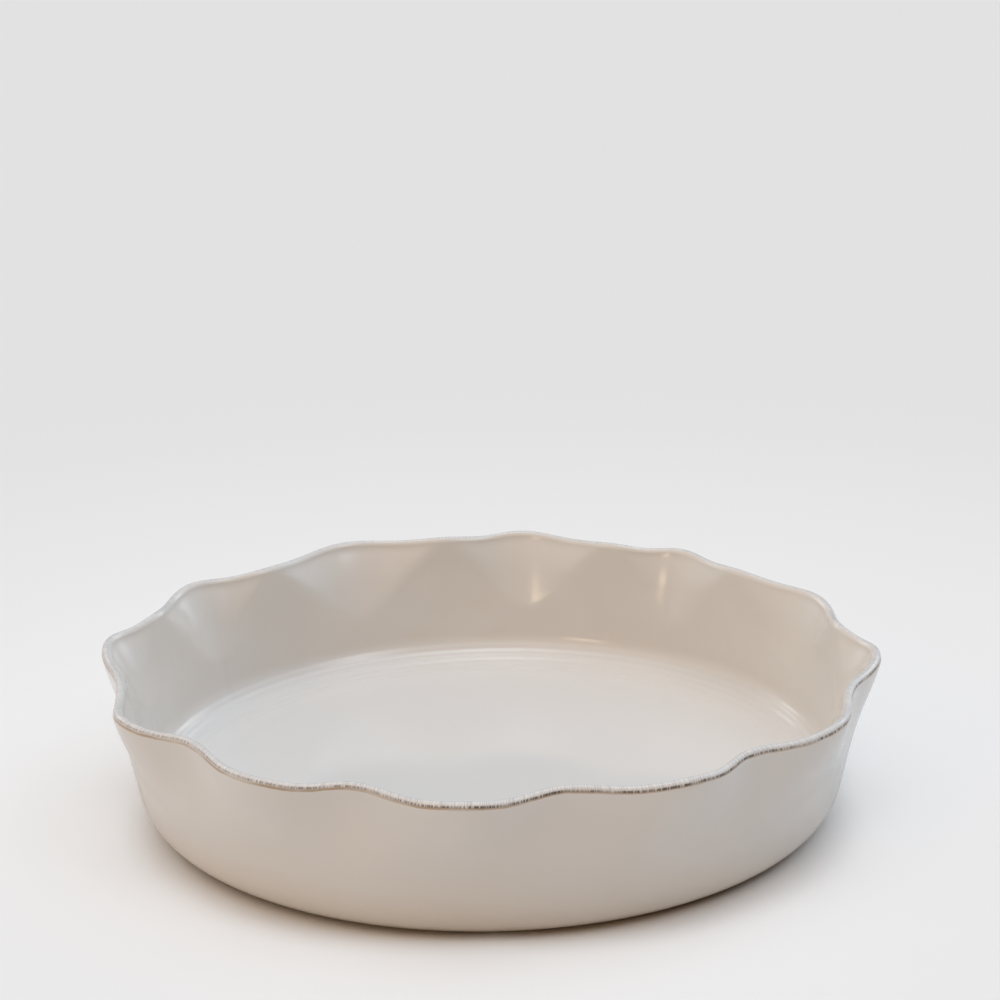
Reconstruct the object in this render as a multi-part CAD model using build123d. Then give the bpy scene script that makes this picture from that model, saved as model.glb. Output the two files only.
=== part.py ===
"""A round stoneware pie dish with a ruffled rim.

Millimetres, +Z up. The origin is the centre of the foot, on the surface that the dish stands on,
and angles are counted from +X, seen from above. The dish is one piece of clay, and the glaze is
melted onto it, so it is one solid. Its skin is lofted through closed curves, one for each place
of the section: up the corner of the foot and the outer wall, over the rounded lip, and down the
inner wall and the cove to the flat floor. The ruffles are pressed out of the upper wall by hand,
and no two are alike. The underside has a foot ring round a shallow hollow.
"""

import os
from math import acos, atan2, cos, degrees, hypot, radians, sin, tan, tau

from build123d import *

# The dish
lip_radius = 136.2  # from the axis to the middle of the lip, averaged round the rim
lip_height = 54.6  # from the table to the middle of the lip, averaged
wall_thickness = 5.0
foot_radius = 114.0  # where the flat of the foot ends
foot_corner_radius = 16.0  # between the foot and the outer wall
floor_height = 8.0  # top of the floor above the table
cove_radius = 20.0  # between the floor and the inner wall

# The foot ring and the hollow inside it
foot_ring_width = 8.0
foot_hollow_depth = 1.6

# The ruffles
ruffle_start_height = 25.5  # where the wall leaves the round
ruffle_reach = 3.7  # how far the lip moves out at a lobe and in at a notch, on average
notch_rise = 0.3  # how far the lip stands up at a notch and dips at a lobe
flank_dip = 0.5  # how far it dips between the two and stands up at both

# One line for each ruffle: its lobe's angle and share of the reach, then those of the next notch
ruffle_angles_and_reach_shares = (
    (23, 0.3, 42, 1.7),
    (56, 0.3, 66, 1.6),
    (85, 1.3, 96, 0.8),
    (114, 1.5, 132, 1.5),
    (144, 1.4, 161, 0.5),
    (170, 1.5, 191, 0.6),
    (205, 1.2, 218, 1.3),
    (238, 0.8, 249, 1.3),
    (267, 1.2, 279, 1.1),
    (300, 0.9, 309, 0.6),
    (328, 1.3, 335, 1.1),
    (359, 1.2, 369, 1.1),
)

full_turn = 360

# Steps that each stretch of the section is drawn in. The skin is ruled from one step to the next.
corner_steps = 7
wall_steps = 6
lip_steps = 8
cove_steps = 8


def ruffle_stations():
    """The angle, outward move and rise of the lip at each lobe, flank, notch and flank in turn."""
    stations = []
    for index, (lobe, out_share, notch, in_share) in enumerate(ruffle_angles_and_reach_shares):
        following = (index + 1) % len(ruffle_angles_and_reach_shares)
        next_lobe, next_share = ruffle_angles_and_reach_shares[following][:2]
        if following == 0:
            next_lobe += full_turn
        lobe_move = ruffle_reach * out_share
        notch_move = -ruffle_reach * in_share
        next_move = ruffle_reach * next_share
        stations += [
            (lobe, lobe_move, flank_dip - notch_rise),
            ((lobe + notch) / 2, (lobe_move + notch_move) / 2, -flank_dip),
            (notch, notch_move, flank_dip + notch_rise),
            ((notch + next_lobe) / 2, (notch_move + next_move) / 2, -flank_dip),
        ]
    return stations


def ruffle_share(height):
    """How much of the lip's movement the wall has at a height: none at the start, all at the lip."""
    share = (height - ruffle_start_height) / (lip_height - ruffle_start_height)
    share = min(max(share, 0), 1)
    return share * share * (3 - 2 * share)


def ring(radius, height):
    """A closed curve round the axis through one place of the section, moved by the ruffles there."""
    share = ruffle_share(height)
    points = []
    for angle, move, rise in ruffle_stations():
        reach = radius + share * move
        turn = radians(angle)
        points.append((reach * cos(turn), reach * sin(turn), height + share * rise))
    first = ruffle_stations()[0][0]
    parameters = [(angle - first) / full_turn for angle, move, rise in ruffle_stations()]

    # It starts and ends at the first lobe's peak, running level and square to the radius
    x, y, z = points[0]
    onward = (-y * tau, x * tau, 0)
    closed = points + [points[0]]
    curve = Edge.make_spline(closed, [onward, onward], parameters=parameters + [1], scale=False)
    return Wire([curve])


def arc_places(centre, radius, start, end, steps):
    """Places on an arc of the section, with angles counted from straight out towards up."""
    places = []
    for step in range(steps + 1):
        turn = radians(start + (end - start) * step / steps)
        places.append((centre[0] + radius * cos(turn), centre[1] + radius * sin(turn)))
    return places


def places_between(start, end, steps):
    """Places that divide a straight stretch of the section, without its ends."""
    return [
        tuple(start[axis] + (end[axis] - start[axis]) * step / steps for axis in (0, 1))
        for step in range(1, steps)
    ]


def wall_lean():
    """Degrees that the wall leans out. Its outer side touches the foot's corner and the lip."""
    across = lip_radius - foot_radius
    up = lip_height - foot_corner_radius
    narrowing = foot_corner_radius - wall_thickness / 2
    return degrees(atan2(across, up)) + degrees(acos(narrowing / hypot(across, up))) - 90


def section():
    """The section from the foot up the outside, over the lip and down to the edge of the floor."""
    lean = wall_lean()
    foot_centre = (foot_radius, foot_corner_radius)
    lip_centre = (lip_radius, lip_height)
    corner = arc_places(foot_centre, foot_corner_radius, -90, -lean, corner_steps)
    lip = arc_places(lip_centre, wall_thickness / 2, -lean, 180 - lean, lip_steps)

    # The cove touches the floor and the inner side of the wall
    cove_height = floor_height + cove_radius
    middle_radius = lip_radius - (lip_height - cove_height) * tan(radians(lean))
    from_middle = wall_thickness / 2 + cove_radius
    cove_centre = (middle_radius - from_middle / cos(radians(lean)), cove_height)
    cove = arc_places(cove_centre, cove_radius, -lean, -90, cove_steps)

    outside = places_between(corner[-1], lip[0], wall_steps)
    inside = places_between(lip[-1], cove[0], wall_steps)
    return corner + outside + lip + inside + cove


def dish_form():
    """The dish without its foot hollow: its skin, closed by the flat base and the floor."""
    return Part() + Solid.make_loft([ring(radius, height) for radius, height in section()], ruled=True)


def foot_hollow():
    """The shallow hollow inside the foot ring, with a side that slopes in at 45 degrees."""
    radius = foot_radius - foot_ring_width
    depth = foot_hollow_depth
    outline = Polyline((0, 0), (radius, 0), (radius - depth, depth), (0, depth), close=True)
    return revolve(Plane.XZ * make_face(outline), Axis.Z)


dish_body = dish_form() - foot_hollow()

os.makedirs("parts", exist_ok=True)
export_step(dish_body, "parts/dish_body.step")
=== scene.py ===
"""A round stoneware pie dish with a ruffled rim, glazed cream-grey.

Everything is in metres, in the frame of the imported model: +Z up, with the origin at the centre of
the foot, on the surface that the dish stands on. Angles are counted from +X, seen from above.
"""

import bpy
import numpy as np
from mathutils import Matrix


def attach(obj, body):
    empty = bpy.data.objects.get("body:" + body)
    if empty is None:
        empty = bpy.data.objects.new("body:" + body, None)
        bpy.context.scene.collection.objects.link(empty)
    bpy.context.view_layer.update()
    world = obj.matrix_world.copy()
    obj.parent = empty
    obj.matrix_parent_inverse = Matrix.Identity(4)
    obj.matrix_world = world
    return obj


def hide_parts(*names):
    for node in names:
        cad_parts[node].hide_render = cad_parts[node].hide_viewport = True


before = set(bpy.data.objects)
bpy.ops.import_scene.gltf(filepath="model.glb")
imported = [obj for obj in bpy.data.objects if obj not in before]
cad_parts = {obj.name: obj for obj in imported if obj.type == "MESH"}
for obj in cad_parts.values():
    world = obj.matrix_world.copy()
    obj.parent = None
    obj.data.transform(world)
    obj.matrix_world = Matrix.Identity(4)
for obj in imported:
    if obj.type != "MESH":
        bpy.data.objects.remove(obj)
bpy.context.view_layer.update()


# ---- The camera ------------------------------------------------------------------------------
# It stands 1.18 m from the dish and looks down on it by about 23 degrees, through a long lens, and
# it is tipped by about a degree, as the photographer's was.

camera_data = bpy.data.cameras.new("Camera")
camera_data.lens = 113.4
camera_data.sensor_width = 36
camera = bpy.data.objects.new("Camera", camera_data)
camera.location = (0, -1.08565, 0.45737)
camera.rotation_euler = np.radians((72.506, 0.927, -0.565))
bpy.context.scene.collection.objects.link(camera)
bpy.context.scene.camera = camera


# ---- The dish --------------------------------------------------------------------------------
# One piece of stoneware, thrown on a wheel: a turned foot ring, a rounded corner, a wall that leans
# out, and a cove that still shows the throwing rings. The soft upper wall was then pressed out by
# hand into twelve lobes, and the lip rounded with a wet finger.

mm = 0.001

lip_radius = 136.2 * mm  # from the axis to the middle of the lip, averaged round the rim
lip_height = 54.6 * mm
wall_thickness = 5.0 * mm
foot_radius = 114.0 * mm  # where the flat of the foot ring ends
foot_corner_radius = 16.0 * mm
floor_height = 8.0 * mm
floor_edge_radius = 80.0 * mm  # the floor's middle, which needs few steps, starts here
cove_top = 19.5 * mm  # the height where the inner wall starts to turn into the floor
foot_ring_width = 8.0 * mm
foot_hollow_depth = 1.6 * mm
foot_hollow_slope = 45  # degrees, of the hollow's side
edge_round = 0.6 * mm  # on the inner edge of the foot ring
lip_thinning = 1.2 * mm  # of the inner side towards the lip
lip_thinning_depth = 14.0 * mm  # how far down the wall that reaches

ruffle_start = 25.5 * mm  # the height where the outer side leaves the round
ruffle_reach = 3.7 * mm  # how far the lip moves out at a lobe and in at a notch, on average
notch_rise = 0.3 * mm  # how far the lip stands up at a notch and dips at a lobe
flank_dip = 0.5 * mm  # how far it dips between the two and stands up at both
notch_lean_start = 14.0 * mm  # the height where the inner side starts to lean in to the notches
notch_lean_power = 1.5  # the lean grows as this power of the share of the way up
scoop_start = 29.0 * mm  # the height of the lowest point of each lobe's scoop
scoop_power = 1.25  # the scoops widen as this power of the share of the way up
scoop_softness = 2.5 * mm  # of the edge between a scoop and the wall beside it
scoop_softness_grown = 0.5  # the share of the way up where that softness has all of its growth

# One line for each ruffle: its lobe's angle and share of the reach, then those of the next notch
ruffle_angles_and_reach_shares = np.array((
    (23, 0.3, 42, 1.7),
    (56, 0.3, 66, 1.6),
    (85, 1.3, 96, 0.8),
    (114, 1.5, 132, 1.5),
    (144, 1.4, 161, 0.5),
    (170, 1.5, 191, 0.6),
    (205, 1.2, 218, 1.3),
    (238, 0.8, 249, 1.3),
    (267, 1.2, 279, 1.1),
    (300, 0.9, 309, 0.6),
    (328, 1.4, 340.5, 0.5),
    (359, 1.2, 369, 1.1),
))

full_turn = 360

throwing_ring_pitch = 3.0 * mm
throwing_ring_height = 0.22 * mm
throwing_rings_fade_in = (0.1, 0.25)  # shares of the way down the cove
throwing_rings_fade_out = (0.8, 0.55)
throwing_ring_drift = 0.15  # how far a ring drifts to and fro once round the dish, in pitches
throwing_ring_drift_start = 0.8  # radians
throwing_ring_flutter = 0.1  # and how far twice round it

# Steps that each stretch of the section is drawn in, and corners round the dish
hollow_steps = 7
slope_steps = 3
edge_steps = 4
foot_ring_steps = 4
corner_steps = 22
wall_steps = 30
lip_steps = 28
cove_steps = 48
floor_edge_steps = 16
floor_steps = 10
angle_count = 480


def closed_curve(stations, values, angles):
    """Values at any angles, on the smooth closed curve through the values at the stations.

    Between two stations it is a cubic, and its slope and bend carry on through each of them. The
    bends come from one equation for each station, solved together.
    """
    count = len(stations)
    stations = np.append(stations, stations[0] + full_turn)
    values = np.append(values, values[0])
    gap = np.diff(stations)
    step = np.diff(values) / gap
    place = np.arange(count)
    equations = np.zeros((count, count))
    equations[place, place - 1] += gap[place - 1]
    equations[place, place] += 2 * (gap[place - 1] + gap)
    equations[place, (place + 1) % count] += gap
    bend = np.linalg.solve(equations, 6 * (step - step[place - 1]))
    bend = np.append(bend, bend[0])

    turn = (angles - stations[0]) % full_turn + stations[0]
    left = np.clip(np.searchsorted(stations, turn, side="right") - 1, 0, count - 1)
    before = turn - stations[left]
    after = gap[left] - before
    cubic = (bend[left] * after**3 + bend[left + 1] * before**3) / (6 * gap[left])
    start = (values[left] / gap[left] - bend[left] * gap[left] / 6) * after
    end = (values[left + 1] / gap[left] - bend[left + 1] * gap[left] / 6) * before
    return cubic + start + end


def lip_line(angles):
    """How far the lip moves out and up at each angle.

    It goes through each lobe and notch, and through a dip on the flank halfway between them.
    """
    lobe, out_share, notch, in_share = ruffle_angles_and_reach_shares.T
    next_lobe = np.append(lobe[1:], lobe[0] + full_turn)
    lobe_move = ruffle_reach * out_share
    notch_move = -ruffle_reach * in_share
    next_move = np.append(lobe_move[1:], lobe_move[0])
    stations = np.stack((lobe, (lobe + notch) / 2, notch, (notch + next_lobe) / 2), 1).ravel()
    moves = np.stack((
        lobe_move, (lobe_move + notch_move) / 2, notch_move, (notch_move + next_move) / 2,
    ), 1).ravel()
    rises = np.tile((flank_dip - notch_rise, -flank_dip, flank_dip + notch_rise, -flank_dip), len(lobe))
    return closed_curve(stations, moves, angles), closed_curve(stations, rises, angles)


def lobe_and_notch_lines(angles):
    """The smooth closed curves that join the lobes' outward moves and the notches' inward ones."""
    lobe, out_share, notch, in_share = ruffle_angles_and_reach_shares.T
    lobes = closed_curve(lobe, ruffle_reach * out_share, angles)
    notches = closed_curve(notch, -ruffle_reach * in_share, angles)
    return lobes, notches


def share_of_the_way(place, start, end):
    """0 before the start, 1 past the end, and an even share between them."""
    return np.clip((place - start) / (end - start), 0, 1)


def arc(centre, radius, start, end, steps):
    """Places on an arc of the section, with angles in degrees from straight out towards up.

    Each is the centre, moved out by the radius times the cosine and up by the radius times the sine.
    """
    turn = np.radians(np.linspace(start, end, steps + 1))
    return np.stack((centre[0] + radius * np.cos(turn), centre[1] + radius * np.sin(turn)), 1)


def fading_bend(start, way, end_height, steps):
    """Places from a start down to level, along a bend that is tight at first and then fades out.

    The way is the angle in degrees that the skin's back faces. It turns to -90, where the bend ends,
    and what is left of the turn falls as the square of the share of the path that is left. The
    places are the sum of the steps that way, all scaled to end at the end height.
    """
    left = (1 - np.linspace(0, 1, steps + 1)) ** 2
    turn = np.radians(-90 + (way + 90) * left)
    travel = np.stack((np.sin(turn), -np.cos(turn)), 1)
    path = np.append([[0, 0]], np.cumsum((travel[1:] + travel[:-1]) / 2, axis=0), axis=0)
    return np.asarray(start) + path * (end_height - start[1]) / path[-1, 1]


def straight(start, end, steps):
    """Places at even shares of the way along a straight stretch of the section, without its ends."""
    along = np.linspace(0, 1, steps + 1)[1:-1, None]
    return np.asarray(start) * (1 - along) + np.asarray(end) * along


def wall_lean():
    """Degrees that the wall leans out. Its outer side touches the foot's corner and the lip.

    It is the angle from the corner's centre to the lip's, turned back by what the narrowing from the
    corner's radius to the lip's takes.
    """
    across = lip_radius - foot_radius
    up = lip_height - foot_corner_radius
    narrowing = foot_corner_radius - wall_thickness / 2
    return np.degrees(np.arctan2(across, up) + np.arccos(narrowing / np.hypot(across, up))) - 90


def section():
    """The section as radius and height, from the hollow's middle to the floor's middle.

    It is made of straight stretches and bends that touch. With it come the place numbers of the
    lip's crown and of the cove's two ends.
    """
    lean = wall_lean()
    hollow_start = foot_radius - foot_ring_width
    hollow_edge = hollow_start - foot_hollow_depth
    fillet = edge_round * np.tan(np.radians(foot_hollow_slope / 2))
    ring_inner = hollow_start + fillet
    hollow = straight((0, foot_hollow_depth), (hollow_edge, foot_hollow_depth), hollow_steps)
    slope = straight((hollow_edge, foot_hollow_depth), (hollow_start - fillet, fillet), slope_steps)
    edge = arc((ring_inner, edge_round), edge_round, 180 + foot_hollow_slope, 270, edge_steps)
    ring = straight((ring_inner, 0), (foot_radius, 0), foot_ring_steps)
    foot_centre = (foot_radius, foot_corner_radius)
    corner = arc(foot_centre, foot_corner_radius, -90, -lean, corner_steps)
    lip = arc((lip_radius, lip_height), wall_thickness / 2, -lean, 180 - lean, lip_steps)

    # The inner wall's line, level with the cove's top
    inner_radius = lip_radius - wall_thickness / 2 / np.cos(np.radians(lean))
    inner_radius -= (lip_height - cove_top) * np.tan(np.radians(lean))
    cove = fading_bend((inner_radius, cove_top), -lean, floor_height, cove_steps)
    outside = straight(corner[-1], lip[0], wall_steps)
    inside = straight(lip[-1], cove[0], wall_steps)
    floor_edge = straight(cove[-1], (floor_edge_radius, floor_height), floor_edge_steps)
    floor = straight((floor_edge_radius, floor_height), (0, floor_height), floor_steps)

    below_lip = np.concatenate((hollow, slope, edge, ring, corner, outside))
    crown = len(below_lip) + lip_steps // 2
    cove_start = len(below_lip) + len(lip) + len(inside)
    cove_end = cove_start + len(cove)
    return np.concatenate((below_lip, lip, inside, cove, floor_edge, floor)), crown, cove_start, cove_end


def wall_moves(height, inside, angles):
    """How far the wall moves out and up at each height and angle.

    The outer side follows the lip's moves smoothly, from nothing at the ruffles' start to all at the
    lip. The inner side leans in evenly to the line of the notches, and each lobe is pressed out of
    it as a scoop, wherever the lip's own curve stands above a level that sinks from the lobes' line
    to the notches'. That gives each scoop its U-shaped foot. The scoop is half the sum of the height
    above the level and the root of its square plus the softness's, which rounds its edge.
    """
    move, rise = lip_line(angles)
    lobes, notches = lobe_and_notch_lines(angles)
    smooth_share = share_of_the_way(height, ruffle_start, lip_height)
    smooth_share = smooth_share**2 * (3 - 2 * smooth_share)
    lean_share = share_of_the_way(height, notch_lean_start, lip_height) ** notch_lean_power
    scoop_share = share_of_the_way(height, scoop_start, lip_height)
    level = notches + (lobes - notches) * (1 - scoop_share**scoop_power)
    above = move - level
    grown = share_of_the_way(scoop_share, 0, scoop_softness_grown)
    softness = scoop_softness * grown * np.sqrt(1 - scoop_share)
    scoop = (above + np.sqrt(above**2 + softness**2)) / 2
    scooped = lean_share * notches + scoop
    return np.where(inside, scooped, smooth_share * move), smooth_share * rise


def dish_surface(angles):
    """Corners of the dish's skin by place of the section and angle, and how far each is past the lip.

    Each place of the section goes round the axis and moves with the wall. Low throwing rings, a
    cosine of the way down, follow the cove.
    """
    places, crown, cove_start, cove_end = section()
    radius, height = places[:, :1], places[:, 1:]
    along = np.append(0, np.cumsum(np.hypot(*np.diff(places, axis=0).T)))[:, None]
    past_lip = along - along[crown]

    tangent = np.gradient(places, axis=0)
    tangent /= np.hypot(tangent[:, :1], tangent[:, 1:])
    outward = np.stack((tangent[:, 1], -tangent[:, 0]), 1)
    into_cove = along - along[cove_start]
    down_cove = into_cove / (along[cove_end] - along[cove_start])
    fade = share_of_the_way(down_cove, *throwing_rings_fade_in)
    fade = fade * share_of_the_way(down_cove, *throwing_rings_fade_out)
    turn = np.radians(angles)[None, :]
    drift = throwing_ring_drift * np.sin(turn + throwing_ring_drift_start)
    drift = drift + throwing_ring_flutter * np.sin(2 * turn)
    ridges = np.cos(2 * np.pi * (into_cove / throwing_ring_pitch + drift))
    lift = throwing_ring_height / 2 * fade * ridges

    across_lip = share_of_the_way(past_lip, -wall_thickness / 2, wall_thickness / 2)
    outer_move, rise = wall_moves(height, False, angles)
    inner_move, rise = wall_moves(height, True, angles)
    thinning = share_of_the_way(height, lip_height - lip_thinning_depth, lip_height) ** 2
    inner_move = inner_move + lip_thinning * thinning
    move = outer_move * (1 - across_lip) + inner_move * across_lip
    out = radius + move + lift * outward[:, :1]
    up = height + rise + lift * outward[:, 1:]
    corners = np.stack((out * np.cos(turn), out * np.sin(turn), up), -1)
    return corners, np.broadcast_to(past_lip, out.shape)


def closed_skin(name, corners):
    """A mesh of the skin: four-sided faces between neighbours, and a fan round each middle."""
    rows, columns = corners.shape[:2]
    bottom = corners[0].mean(0)
    top = corners[-1].mean(0)
    points = np.concatenate((corners.reshape(-1, 3), (bottom, top)))
    number = np.arange(rows * columns).reshape(rows, columns)
    beside = np.roll(number, -1, 1)
    quads = np.stack((number[:-1], beside[:-1], beside[1:], number[1:]), -1).reshape(-1, 4)
    under = np.stack((beside[0], number[0], np.full(columns, rows * columns)), 1)
    over = np.stack((number[-1], beside[-1], np.full(columns, rows * columns + 1)), 1)
    mesh = bpy.data.meshes.new(name)
    mesh.from_pydata(points.tolist(), [], quads.tolist() + under.tolist() + over.tolist())
    mesh.polygons.foreach_set("use_smooth", np.ones(len(mesh.polygons), bool))
    mesh.update()
    return mesh


angles = np.arange(angle_count) * full_turn / angle_count
corners, past_lip = dish_surface(angles)
dish_mesh = closed_skin("Dish", corners)
middles = (past_lip[0].mean(), past_lip[-1].mean())
attribute = dish_mesh.attributes.new("past_lip", "FLOAT", "POINT")
attribute.data.foreach_set("value", np.append(past_lip.ravel(), middles).astype(np.float32))
dish = bpy.data.objects.new("Dish", dish_mesh)
bpy.context.scene.collection.objects.link(dish)
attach(dish, "root")
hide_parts("dish_body")


# ---- The glaze -------------------------------------------------------------------------------
# A cream-grey glaze, melted onto the clay in the kiln. It is smooth and glossy, a little uneven in
# colour, and
# thin where it ran off the lip: there the clay shows through as an ochre line, with a dark stain rubbed
# into its fine cracks. The foot ring was wiped clean, so it is bare clay. Some of the colour is painted
# light: a whiter crown is a painted highlight, the floor's cooler grey is partly painted cool light from
# above, and the darker tan low on the outer wall and the dark band at the table are partly painted
# shade.

glaze_refraction = 1.5
glaze_roughness = 0.12
clay_roughness = 0.8

# Colours, each with the share of it that shows where it is strongest. Below, "past" is the way over
# the lip's crown: positive on the inner side, negative on the outer one.
cream_grey = (0.78, 0.75, 0.71, 1)
warm_grey = (0.75, 0.705, 0.65, 1)  # in soft patches
warm_share = 0.35
pooled_grey_and_cool_top_light = (0.78, 0.77, 0.755, 1)  # cooler on the floor: the glaze lies thick there, and this is also painted cool light from above
pooled_and_cool_light_reach = (40 * mm, 50 * mm)  # past the crown, where this starts and where it is complete
low_tan_and_painted_shade = (0.66, 0.56, 0.44, 1)  # darker and warmer low on the outer wall: thinner glaze there, and painted shade with warm light from the floor near the foot
low_tan_and_shade_share = 0.45
low_tan_and_shade_height = 24 * mm
low_tan_and_shade_reach = -10 * mm  # past the crown
# A painted highlight: the lip's crown is made whiter, as the light from above would make it
crown_painted_highlight = (0.85, 0.85, 0.85, 1)
crown_highlight_share = 0.6
crown_highlight_place = 0.4 * mm
crown_highlight_width = 1.9 * mm

# Lines round the lip: their places past the crown and half their widths
ochre = (0.43, 0.30, 0.18, 1)
ochre_place = -2.75 * mm
ochre_width = 0.45 * mm
streak_grey = (0.48, 0.47, 0.50, 1)
streak_share = 0.55
streaks_place = -0.3 * mm
streaks_width = 2.0 * mm
dark_stain = (0.10, 0.085, 0.08, 1)
stain_share = 0.9
stain_place_left = -1.6 * mm
stain_place_right = -2.35 * mm
stain_width = 0.45 * mm
line_wander = 0.9 * mm  # from the highest to the lowest that a line may wander
band_softness = 0.4  # of each band's edges, in shares of its width

# Changes from left to right: where one starts and ends, from -1 to 1, and what it goes from and to
ochre_change = (0.0, 0.7, 0.8, 0.5)
stain_change = (-0.9, 0.1, 0.45, 1.0)
stain_move = (-0.9, 0.4, stain_place_left, stain_place_right)

# Patches: the scale and detail of their noise, and the values between which they go from none to all
warm_patches = (28.0, 3.0, 0.35, 0.65)
ochre_patches = (9.0, 3.0, 0.35, 0.55)
streak_patches = (420.0, 2.0, 0.45, 0.62)
stain_patches = (16.0, 3.0, 0.35, 0.52)
stroke_patches = (240.0, 3.0, 0.38, 0.54)
wander_noise = (14.0, 3.0)
ochre_least = 0.5  # of the ochre, and of the stain, where their patches are weakest
stain_least = 0.45

speck_cells = 70.0  # to the metre
speck_rarity = 0.94  # the share of cells with none
speck_edges = (0.045, 0.02)  # from outside to inside, in cells
speck_share = 0.7
# Bare clay on the foot ring and in a band up the outer side; that dark band at the table is also painted
# contact shade
bare_clay_and_contact_shade = (0.40, 0.29, 0.19, 1)
bare_and_shade_height = 2.2 * mm  # of the outer side above the table

glaze = bpy.data.materials.new("Cream-grey glaze")
glaze.use_nodes = True
nodes = glaze.node_tree.nodes
links = glaze.node_tree.links
shader = nodes["Principled BSDF"]
shader.inputs["IOR"].default_value = glaze_refraction


def add(kind, **settings):
    """A node on the sheet in hand: the glaze's, and later the floor's and the room's."""
    node = nodes.new(kind)
    for setting, value in settings.items():
        setattr(node, setting, value)
    return node


def put(value, socket):
    """A plain value or another node's output, given to an input."""
    if isinstance(value, bpy.types.NodeSocket):
        links.new(value, socket)
    else:
        socket.default_value = value


def maths(operation, *values):
    """The result of one sum."""
    node = add("ShaderNodeMath", operation=operation)
    for value, socket in zip(values, node.inputs):
        put(value, socket)
    return node.outputs[0]


def vector_maths(operation, *values):
    """The results of one sum with vectors, a vector and a value."""
    node = add("ShaderNodeVectorMath", operation=operation)
    for value, socket in zip(values, node.inputs):
        put(value, socket)
    return node.outputs


def between(value, low, high, low_out=0.0, high_out=1.0):
    """A smooth change from one output to the other, as the value goes from low to high."""
    node = add("ShaderNodeMapRange", interpolation_type="SMOOTHSTEP")
    for given, socket in zip((value, low, high, low_out, high_out), node.inputs):
        put(given, socket)
    return node.outputs[0]


def band(value, middle, width):
    """1 near the middle and 0 away from it, with soft edges a width away on each side."""
    away = maths("ABSOLUTE", maths("SUBTRACT", value, middle))
    return between(away, width * (1 + band_softness), width * (1 - band_softness))


def blend_colours(share, first, second):
    """The first colour, with a share of the second."""
    node = add("ShaderNodeMix", data_type="RGBA")
    put(share, node.inputs[0])
    put(first, node.inputs[6])
    put(second, node.inputs[7])
    return node.outputs[2]


def noise(vector, scale, detail):
    """Smooth noise between 0 and 1."""
    node = add("ShaderNodeTexNoise")
    put(vector, node.inputs["Vector"])
    put(scale, node.inputs["Scale"])
    put(detail, node.inputs["Detail"])
    return node.outputs["Fac"]


def patches(vector, scale, detail, low, high, least=0.0, most=1.0):
    """Smooth patches: least where the noise is below the low value, most where above the high one."""
    return between(noise(vector, scale, detail), low, high, least, most)


def parts_of(vector):
    """The X, Y and Z of a vector."""
    node = add("ShaderNodeSeparateXYZ")
    put(vector, node.inputs[0])
    return node.outputs


position = add("ShaderNodeTexCoord").outputs["Object"]
past = add("ShaderNodeAttribute", attribute_name="past_lip").outputs["Fac"]
height = parts_of(position)["Z"]
level_place = vector_maths("MULTIPLY", position, (1, 1, 0))["Vector"]
direction = vector_maths("NORMALIZE", level_place)["Vector"]
rightward = parts_of(direction)["X"]

colour = blend_colours(
    maths("MULTIPLY", patches(position, *warm_patches), warm_share), cream_grey, warm_grey,
)
# A cooler grey on the floor: thicker glaze, and also painted cool light from above on the upward floor
colour = blend_colours(between(past, *pooled_and_cool_light_reach), colour, pooled_grey_and_cool_top_light)
# Darker, warmer tan low on the outer wall: partly thin glaze, partly painted shade from the floor near
# the foot
low = maths("MULTIPLY", between(height, low_tan_and_shade_height, 0.0), between(past, 0.0, low_tan_and_shade_reach))
colour = blend_colours(maths("MULTIPLY", low, low_tan_and_shade_share), colour, low_tan_and_painted_shade)
# The painted highlight along the lip's crown
crown = band(past, crown_highlight_place, crown_highlight_width)
colour = blend_colours(maths("MULTIPLY", crown, crown_highlight_share), colour, crown_painted_highlight)

# The lines round the lip, with the place of each wandering a little
from_middle = maths("SUBTRACT", noise(direction, *wander_noise), 0.5)
wander = maths("MULTIPLY", from_middle, line_wander)
wandering = maths("ADD", past, wander)
ochre_line = maths(
    "MULTIPLY", band(wandering, ochre_place, ochre_width),
    patches(direction, *ochre_patches, ochre_least, 1.0),
)
ochre_line = maths("MULTIPLY", ochre_line, between(rightward, *ochre_change))
colour = blend_colours(ochre_line, colour, ochre)
streaks = maths(
    "MULTIPLY", patches(direction, *streak_patches, 0.0, streak_share),
    band(past, streaks_place, streaks_width),
)
colour = blend_colours(streaks, colour, streak_grey)
stain = maths(
    "MULTIPLY", patches(direction, *stroke_patches),
    patches(direction, *stain_patches, stain_least, 1.0),
)
stain = maths("MULTIPLY", stain, between(rightward, *stain_change))
stain = maths("MULTIPLY", stain, band(wandering, between(rightward, *stain_move), stain_width))
colour = blend_colours(maths("MULTIPLY", stain, stain_share), colour, dark_stain)

# A few dark specks of iron, each in a cell of its own
cells = add("ShaderNodeTexVoronoi")
put(position, cells.inputs["Vector"])
put(speck_cells, cells.inputs["Scale"])
chosen = maths("GREATER_THAN", parts_of(cells.outputs["Color"])["X"], speck_rarity)
specks = maths("MULTIPLY", chosen, between(cells.outputs["Distance"], *speck_edges))
colour = blend_colours(maths("MULTIPLY", specks, speck_share), colour, dark_stain)

# Bare clay on the foot; its dark band just above the table on the outer side is also painted contact
# shade
foot_edge = maths("ADD", wander, bare_and_shade_height)
bare_and_contact_shade = maths("MULTIPLY", maths("LESS_THAN", height, foot_edge), maths("LESS_THAN", past, 0.0))
put(blend_colours(bare_and_contact_shade, colour, bare_clay_and_contact_shade), shader.inputs["Base Color"])
put(between(bare_and_contact_shade, 0.0, 1.0, glaze_roughness, clay_roughness), shader.inputs["Roughness"])

dish_mesh.materials.append(glaze)


# ---- The floor -------------------------------------------------------------------------------
# A plain pale floor, with no edge in view. The camera sees it a little brighter than it is lit, most
# of all near the dish, and the dish's shadow stays on it.

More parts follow.
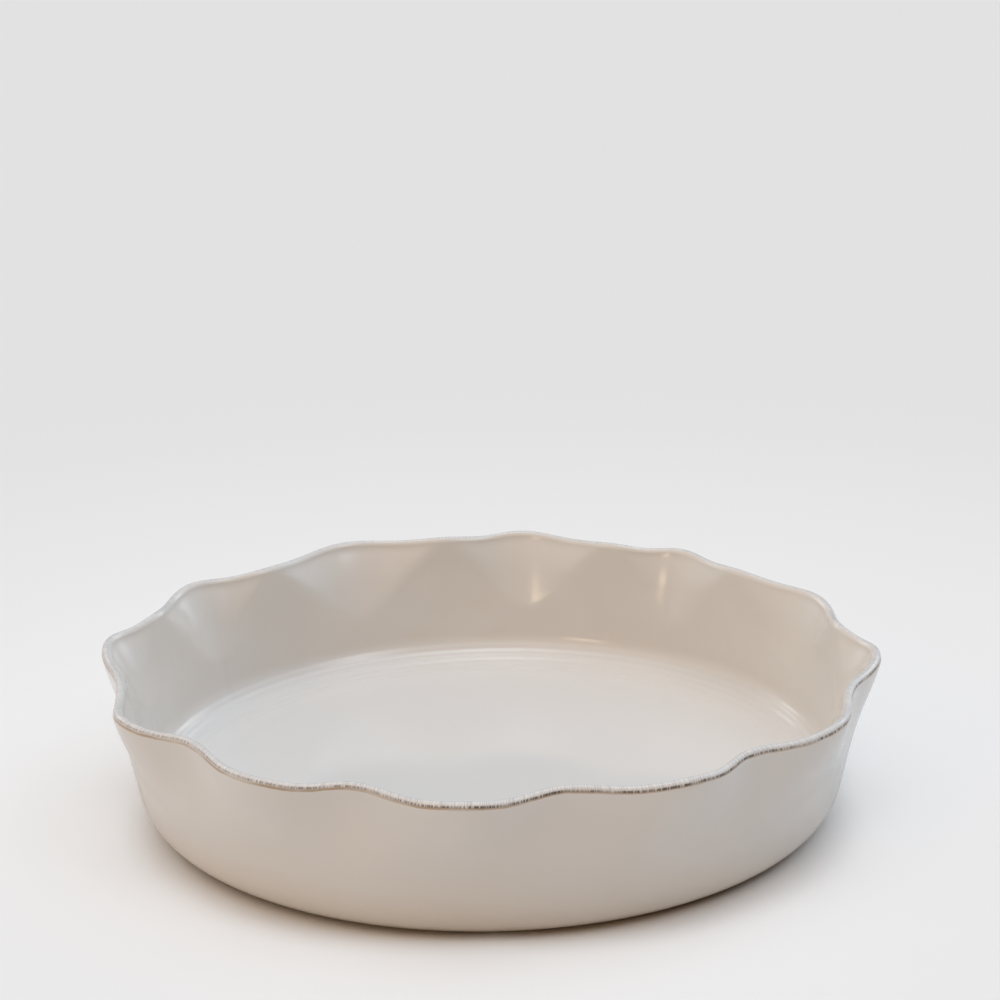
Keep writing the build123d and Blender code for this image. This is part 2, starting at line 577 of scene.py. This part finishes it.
floor_colour = (0.84, 0.84, 0.845, 1)
floor_roughness = 0.9
floor_shine = 0.2
floor_radius = 6.0
floor_sides = 96
near_glow = (0.99, 0.985, 0.985, 1)
far_glow = (0.785, 0.765, 0.755, 1)
glow_change = (0.1, 0.6)  # from the dish's axis, where the near glow ends and the far one begins
glow_share = 0.4  # of what the camera sees, away from the dish
shadow_reach = (foot_radius + 2 * mm, foot_radius + 24 * mm)  # where the glow starts and is complete
corner_shadow = 17.0 * mm  # twice how much further out that is halfway between side and front
right_shadow = 0.25  # the share by which that is further still to the right, and less to the left

floor_mesh = bpy.data.meshes.new("Floor")
edge_turn = np.arange(floor_sides) * 2 * np.pi / floor_sides
floor_edge = np.stack((np.cos(edge_turn), np.sin(edge_turn), 0 * edge_turn), 1) * floor_radius
floor_mesh.from_pydata(floor_edge.tolist(), [], [list(range(floor_sides))])
floor = bpy.data.objects.new("Floor", floor_mesh)
bpy.context.scene.collection.objects.link(floor)

floor_material = bpy.data.materials.new("Pale floor")
floor_material.use_nodes = True
nodes = floor_material.node_tree.nodes
links = floor_material.node_tree.links
floor_shader = nodes["Principled BSDF"]
floor_shader.inputs["Base Color"].default_value = floor_colour
floor_shader.inputs["Roughness"].default_value = floor_roughness
floor_shader.inputs["Specular IOR Level"].default_value = floor_shine

place = add("ShaderNodeTexCoord").outputs["Object"]
distance = vector_maths("LENGTH", place)["Value"]
way_out = parts_of(vector_maths("NORMALIZE", place)["Vector"])
slanting = maths("ABSOLUTE", maths("MULTIPLY", way_out["X"], way_out["Y"]))
further = maths("MULTIPLY", slanting, maths("MULTIPLY_ADD", way_out["X"], right_shadow, 1.0))
further = maths("MULTIPLY", further, corner_shadow)
past_shadow = between(maths("SUBTRACT", distance, further), *shadow_reach, 0.0, glow_share)
to_the_camera = add("ShaderNodeLightPath").outputs["Is Camera Ray"]
glow = add("ShaderNodeEmission")
put(blend_colours(between(distance, *glow_change), near_glow, far_glow), glow.inputs["Color"])
seen = add("ShaderNodeMixShader")
put(maths("MULTIPLY", to_the_camera, past_shadow), seen.inputs[0])
put(floor_shader.outputs[0], seen.inputs[1])
put(glow.outputs[0], seen.inputs[2])
put(seen.outputs[0], nodes["Material Output"].inputs["Surface"])
floor_mesh.materials.append(floor_material)


# ---- The light -------------------------------------------------------------------------------
# A soft studio: a softbox under a pale ceiling, a window high on the camera's right, walls that give
# soft light from behind and from the left, and one small warm lamp near the camera, on its left.
# The camera's own side stays dark.

# Each glow's turn from the camera's side to the right and its height, in degrees, how narrow it is,
# and its colour
glows = (
    (0, 90, 6, (0.90, 1.05, 1.20)),
    (0, 90, 40, (2.1, 2.2, 2.3)),
    (0, 50, 6, (0.45, 0.19, 0.0)),
    (60, 50, 80, (3.0, 3.3, 3.6)),
    (120, 50, 6, (0.72, 0.88, 1.03)),
    (300, 50, 6, (0.79, 0.65, 0.52)),
    (135, 12, 8, (0.45, 0.46, 0.47)),
    (135, 20, 60, (2.0, 2.0, 2.0)),
    (225, 12, 8, (0.60, 0.61, 0.62)),
    (225, 20, 60, (1.8, 1.8, 1.8)),
    (270, 12, 8, (0.66, 0.63, 0.61)),
    (325, 20, 200, (6.0, 4.6, 3.0)),
)

room = bpy.data.worlds.new("Room")
room.use_nodes = True
bpy.context.scene.world = room
nodes = room.node_tree.nodes
links = room.node_tree.links
looking = add("ShaderNodeTexCoord").outputs["Generated"]
total = (0, 0, 0)
for turn, height, narrowness, colour in glows:
    turn, height = np.radians((turn, height))
    towards = (np.sin(turn) * np.cos(height), -np.cos(turn) * np.cos(height), np.sin(height))
    facing = maths("MAXIMUM", vector_maths("DOT_PRODUCT", looking, towards)["Value"], 0)
    total = vector_maths("MULTIPLY_ADD", colour, maths("POWER", facing, narrowness), total)["Vector"]
put(total, nodes["Background"].inputs["Color"])

bpy.context.scene.view_settings.view_transform = "Standard"
